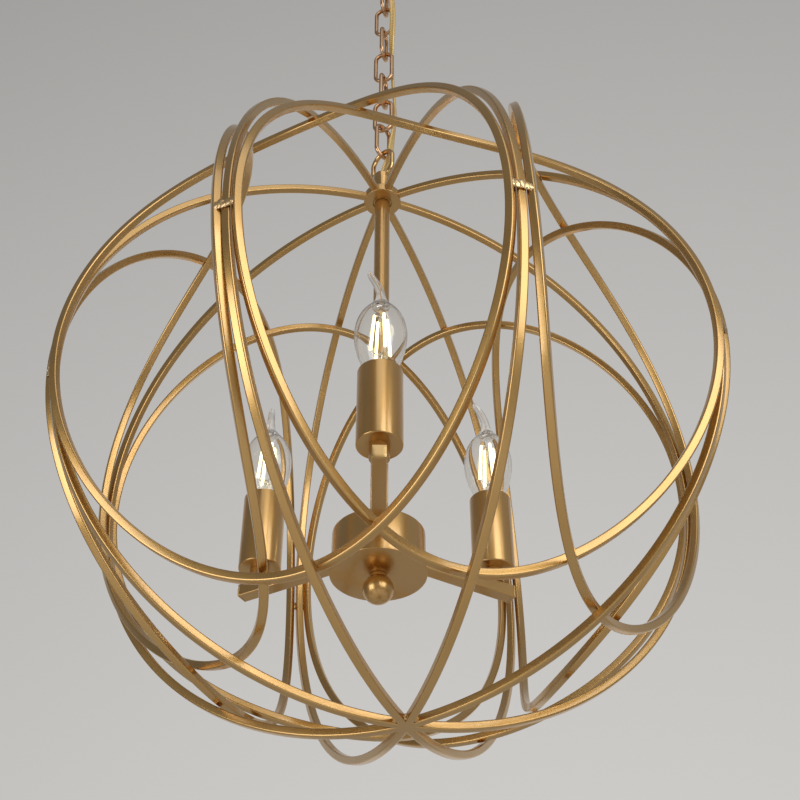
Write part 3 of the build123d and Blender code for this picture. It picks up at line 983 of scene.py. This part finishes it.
def makeArms():
    _, low, high = outlineOf("arm_1")
    half = arms["side"] / 2
    for i, azimuth in enumerate(arms["azimuths"]):
        bm = bmesh.new()
        end = arms["reaches"][i] - arms["plate"]
        softBlock(bm, (arms["innerEnd"], -half, low), (end, half, high), arms["edge"])
        bm.transform(facing(azimuth))
        name, node = f"arm{i + 1}", f"arm_{i + 1}"
        evenShading(makePiece(name, bm, golds["smoothGold"], "lantern", [node], 30))
    bm = bmesh.new()
    for reach, azimuth in zip(arms["reaches"], arms["azimuths"]):
        plate = bmesh.new()
        softBlock(plate, (reach - arms["plate"], -half, low), (reach, half, high), arms["plateEdge"])
        bmesh.ops.subdivide_edges(plate, edges=plate.edges, cuts=3, use_grid_fill=True)
        for vertex in plate.verts:
            rough = noise.noise(vertex.co * arms["plateGrain"] + Vector((azimuth, 0, 0)))
            vertex.co += Vector(arms["plateRough"]) * rough
        plate.transform(facing(azimuth))
        addShape(bm, plate)
    makePiece("armEndPlates", bm, golds["plateGold"], "lantern", ["arm_end_plates"], 40)


def makeCups():
    collars = bmesh.new()
    wall, edge, bore, collarRadius = [cups[key] for key in ("wall", "edge", "bore", "collar")]
    holderBore, floor = cups["holderBore"], hubMiddle.z + cups["boreBottom"]
    armTop = outlineOf("arm_1")[2]
    for n in (1, 2, 3):
        place = axisPlace(f"cup_{n}")
        radius, low, high = outlineOf(f"cup_{n}")
        outline = [
            (bore, low, 0.1),
            (radius, low, edge),
            (radius, high, 0.4),
            (radius - wall, high, 0.4),
            (radius - wall, low + wall, 0.5),
            (bore, low + wall, 0.1),
        ]
        turnedGold(f"cup{n}", outline, f"cup_{n}", 96, place)
        radius, bottom, top = outlineOf(f"lampholder_{n}")
        outline = [
            (bore, bottom, 0.2),
            (radius, bottom, 0.8),
            (radius, top, 1.5),
            (holderBore, top, 0.6),
            (holderBore, floor, 0.3),
            (bore, floor, 0.2),
        ]
        name, node = f"lampholder{n}", f"lampholder_{n}"
        turnedPiece(name, outline, place, blackPlastic, "lantern", [node], True, 64)
        collar = bmesh.new()
        outline = [(bore, armTop, 0), (collarRadius, armTop, 0.3), (collarRadius, low, 0.2), (bore, low, 0)]
        turnedShape(collar, outline, True, 48)
        collar.transform(Matrix.Translation(place))
        addShape(collars, collar)
    makePiece("cupCollars", collars, golds["smoothGold"], "lantern", ["cup_collars"])


makeArms()
makeCups()
print("arms and cups set")


# Candle bulbs, in levels from where the glass meets the cap
bulbs = {
    "tails": [-90.0, -175.0, -95.0],
    "wall": 0.5,
    "globe": [(8.2, 0), (10.3, 4.5), (12.6, 9), (14.9, 14.5), (16.6, 20), (18.2, 28), (18.7, 36), (18.0, 44),
              (16.2, 50.5), (13.4, 56.2), (10.0, 61), (7.2, 64.9), (5.0, 68.5)],
    "tail": [(0.1, 71.5, 4.0, 3), (0.25, 74.5, 3.5, 6), (0.6, 78, 3.15, 10), (1.5, 81.5, 3.0, 16),
             (2.6, 85, 2.9, 22), (4.0, 88.2, 2.8, 25), (5.6, 91.5, 2.65, 28), (7.1, 94.6, 2.5, 30),
             (8.2, 97, 2.2, 32), (8.8, 98.2, 1.5, 34)],
    "segments": 56,
    "cap": {"radius": 6.9, "length": 22.0, "pitch": 2.8, "turns": 6},
    "stem": [(0, 0.3, 0), (6.8, 0.3, 0.3), (6.8, 1.5, 0.5), (3.6, 2.6, 1.5), (1.7, 8.0, 2.0), (1.5, 19.6, 0.8),
             (0, 20.0, 0)],
    "stick": {"radius": 1.1, "length": 34.0, "out": 6.3, "level": 36.8, "tilt": -4.5, "turn": 25.0},
    "wire": 0.35,
}


def smoothProfile(points, steps=4):
    # a smooth line through the profile's points
    line = []
    for i in range(len(points) - 1):
        a = Vector(points[max(i - 1, 0)])
        b, c = Vector(points[i]), Vector(points[i + 1])
        d = Vector(points[min(i + 2, len(points) - 1)])
        for j in range(steps):
            t = j / steps
            line.append(0.5 * (2 * b + (c - a) * t + (2 * a - 5 * b + 4 * c - d) * t * t
                               + (3 * b - a - 3 * c + d) * t ** 3))
    line.append(Vector(points[-1]))
    return line


def glassBody():
    # one closed wall: up the outside, over the drawn tail, and back down the inside
    bm = bmesh.new()
    count, wall = bulbs["segments"], bulbs["wall"]
    profile = smoothProfile(bulbs["globe"])
    outside = [ringOfPoints(bm, p.x, p.y, count) for p in profile]
    tail = []
    for offset, level, radius, tilt in bulbs["tail"]:
        tail.append(ringOfPoints(bm, radius, level, count, offset, radians(tilt)))
    tip = bulbs["tail"][-1]
    tail.append([bm.verts.new((tip[0] + 0.35, 0, tip[1] + 0.45))])
    inside = [ringOfPoints(bm, p.x - wall, p.y - wall * p.y / 68, count) for p in profile if p.y < 66.5]
    inside.append([bm.verts.new((0, 0, 68.0))])
    joinRings(bm, list(reversed(inside)) + outside + tail)
    return bm


def capBody():
    # a threaded shell with a solder button
    bm = bmesh.new()
    radius, length, pitch = [bulbs["cap"][key] for key in ("radius", "length", "pitch")]
    outline = [(0, -length - 2.0, 0), (1.6, -length - 2.0, 0.5), (2.4, -length - 1.2, 0.3), (2.4, -length, 0.1),
               (radius - 1.6, -length, 0.8), (radius - 0.5, -length + 1.8, 0.5)]
    for i in range(bulbs["cap"]["turns"]):
        z = -length + 2.6 + pitch * i
        outline += [(radius - 0.7, z, 0.8), (radius, z + pitch / 2, 0.8)]
    collar = radius - 0.1
    outline += [(radius - 0.5, -1.6, 0.3), (collar, -0.6, 0.3), (collar, 0.0, 0.2), (0, 0.0, 0)]
    turnedShape(bm, outline, False, 48, 4)
    return bm


def addRod(bm, start, end, radius, segments=12):
    # a round rod with soft ends between two points
    start, end = Vector(start), Vector(end)
    half = (end - start).length / 2
    rod = bmesh.new()
    soft = radius * 0.5
    outline = [(0, -half, 0), (radius, -half, soft), (radius, half, soft), (0, half, 0)]
    turnedShape(rod, outline, False, segments, 3)
    turn = (end - start).to_track_quat("Z", "Y").to_matrix().to_4x4()
    rod.transform(Matrix.Translation((start + end) / 2) @ turn)
    addShape(bm, rod)


def stickEnds(i):
    stick = bulbs["stick"]
    place = (
        Matrix.Rotation(radians(stick["turn"] + 90 * i), 4, "Z")
        @ Matrix.Translation((stick["out"], 0, stick["level"]))
        @ Matrix.Rotation(radians(stick["tilt"]), 4, "Y")
    )
    half = stick["length"] / 2
    return place @ Vector((0, 0, -half)), place @ Vector((0, 0, half))


def stemBody():
    # the pressed glass foot and stem
    bm = bmesh.new()
    turnedShape(bm, bulbs["stem"], False, 24)
    return bm


def wireBody():
    # bent wires that hold the sticks at both ends
    bm = bmesh.new()
    for i in range(4):
        low, high = stickEnds(i)
        addRod(bm, (0, 0, 16.0), low, bulbs["wire"], 8)
        addRod(bm, (0, 0, 37.0), (0, 0, high.z + 1.0), bulbs["wire"], 8)
        addRod(bm, (0, 0, high.z + 1.0), high, bulbs["wire"], 8)
    return bm


def lightBody():
    bm = bmesh.new()
    for i in range(4):
        low, high = stickEnds(i)
        addRod(bm, low, high, bulbs["stick"]["radius"])
    return bm


def makeBulbs():
    for n in (1, 2, 3):
        seat = outlineOf(f"bulb_cap_{n}")[2]
        place = Matrix.Translation((*axisPlace(f"bulb_cap_{n}")[:2], seat)) @ facing(bulbs["tails"][n - 1])
        for name, maker, finish, node, slot in (
            ("bulbGlass", glassBody, bulbGlass, "bulb_glass", "bulb_glass"),
            ("bulbCap", capBody, capNickel, "bulb_cap", "cap_nickel"),
            ("bulbStem", stemBody, bulbGlass, "bulb_filaments", "bulb_glass"),
            ("bulbWires", wireBody, capNickel, "bulb_filaments", "cap_nickel"),
            ("bulbSticks", lightBody, filamentGlow, "bulb_filaments", "filament_yellow"),
        ):
            bm = maker()
            bm.transform(place)
            makePiece(f"{name}{n}", bm, finish, f"bulb_{n}", [f"{node}_{n}"], 50)
    print("bulbs blown")


makeBulbs()


# Parts that keep their own shape
keptFinishes = {
    "canopy": golds["smoothGold"],
    "ceiling_bracket": zincSteel,
    "canopy_nipple": zincSteel,
    "bracket_nut": zincSteel,
    "terminal_block": whitePlastic,
    "hub_nipple": zincSteel,
    "drum_nipple": zincSteel,
    "drum_nuts": zincSteel,
    "cup_nipples": zincSteel,
    "holder_contacts": contactBrass,
}
for node, finish in keptFinishes.items():
    for slot in bpy.data.objects[node].material_slots:
        slot.material = finish
print("kept parts finished")


# Room: pale floor, surroundings that grow paler towards the back, soft lamps
room = {
    "floorLevel": -2.3,
    "floorSize": 14.0,
    "floorDeep": (0.76, 0.75, 0.73, 1),
    "floorLight": (0.82, 0.81, 0.79, 1),
    "nearLevel": 0.26,
    "farLevel": 0.60,
    "farFrom": 0.30,
    "farTo": 0.92,
    "sidewards": 0.09,
    "tone": (1.0, 0.975, 0.945),
    "light": (0.78, 0.77, 0.76, 1),
    "lightStrength": 0.50,
    "lampColour": (1.0, 0.975, 0.94),
    "lampMiddle": (0, 0, -0.65),
    "lampDistance": 3.0,
}
lamps = {
    "right": {"azimuth": 31.0, "lift": 13.0, "size": 2.3, "power": 36.0},
    "left": {"azimuth": -50.0, "lift": -7.0, "size": 1.7, "power": 24.0},
    "high": {"azimuth": 6.0, "lift": 46.0, "size": 1.9, "power": 9.0},
}


def makeFloor():
    finish, tree = newFinish("paleFloor")
    tone = spread(tree, mottle(tree, 1.4, 5.0), 0.0, 1.0, 0.35, 0.65)
    base = colourMix(tree, tone, room["floorDeep"], room["floorLight"])
    inputs = {"Base Color": base, "Roughness": 0.85, "Normal": bumpOf(tree, mottle(tree, 60.0), 0.05, 0.001)}
    closeFinish(finish, inputs)
    half = room["floorSize"] / 2
    bm = bmesh.new()
    corners = ((-half, -half), (half, -half), (half, half), (-half, half))
    bm.faces.new([bm.verts.new((x, y, room["floorLevel"])) for x, y in corners])
    mesh = drawnMesh("floor", bm)
    mesh.materials.append(finish)
    floor = addObject("floor", mesh)


def makeWorld():
    world = bpy.data.worlds.new("room")
    bpy.context.scene.world = world
    world.use_nodes = True
    tree = world.node_tree
    tree.nodes.clear()
    way = addNode(tree, "ShaderNodeTexCoord").outputs["Generated"]
    parts = addNode(tree, "ShaderNodeSeparateXYZ", None, {"Vector": way})
    levels = [room[key] for key in ("nearLevel", "farLevel", "farFrom", "farTo")]
    away = spread(tree, parts.outputs["Y"], *levels)
    inputs = {0: parts.outputs["X"], 1: room["sidewards"], 2: away}
    level = addNode(tree, "ShaderNodeMath", {"operation": "MULTIPLY_ADD"}, inputs).outputs[0]
    inputs = {0: room["tone"], "Scale": level}
    shown = addNode(tree, "ShaderNodeVectorMath", {"operation": "SCALE"}, inputs).outputs[0]
    path = addNode(tree, "ShaderNodeLightPath").outputs
    seen = path["Is Camera Ray"]
    for ray in ("Is Glossy Ray", "Is Transmission Ray"):
        seen = addNode(tree, "ShaderNodeMath", {"operation": "MAXIMUM"}, {0: seen, 1: path[ray]}).outputs[0]
    inputs = {"Color": room["light"], "Strength": room["lightStrength"]}
    plain = addNode(tree, "ShaderNodeBackground", None, inputs).outputs[0]
    pale = addNode(tree, "ShaderNodeBackground", None, {"Color": shown, "Strength": 1.0}).outputs[0]
    mixed = addNode(tree, "ShaderNodeMixShader", None, {0: seen, 1: plain, 2: pale}).outputs[0]
    addNode(tree, "ShaderNodeOutputWorld", None, {"Surface": mixed})


def makeLamps():
    for name, lamp in lamps.items():
        data = bpy.data.lights.new(name + "Lamp", "AREA")
        data.shape = "SQUARE"
        data.size = lamp["size"]
        data.energy = lamp["power"]
        data.color = room["lampColour"]
        lift = radians(lamp["lift"])
        out = towards(lamp["azimuth"]) * cos(lift) + Vector((0, 0, sin(lift)))
        light = addObject(name + "Lamp", data)
        light.location = Vector(room["lampMiddle"]) + out * room["lampDistance"]
        light.rotation_euler = (-out).to_track_quat("-Z", "Y").to_euler()


makeFloor()
makeWorld()
makeLamps()
print("room lit")
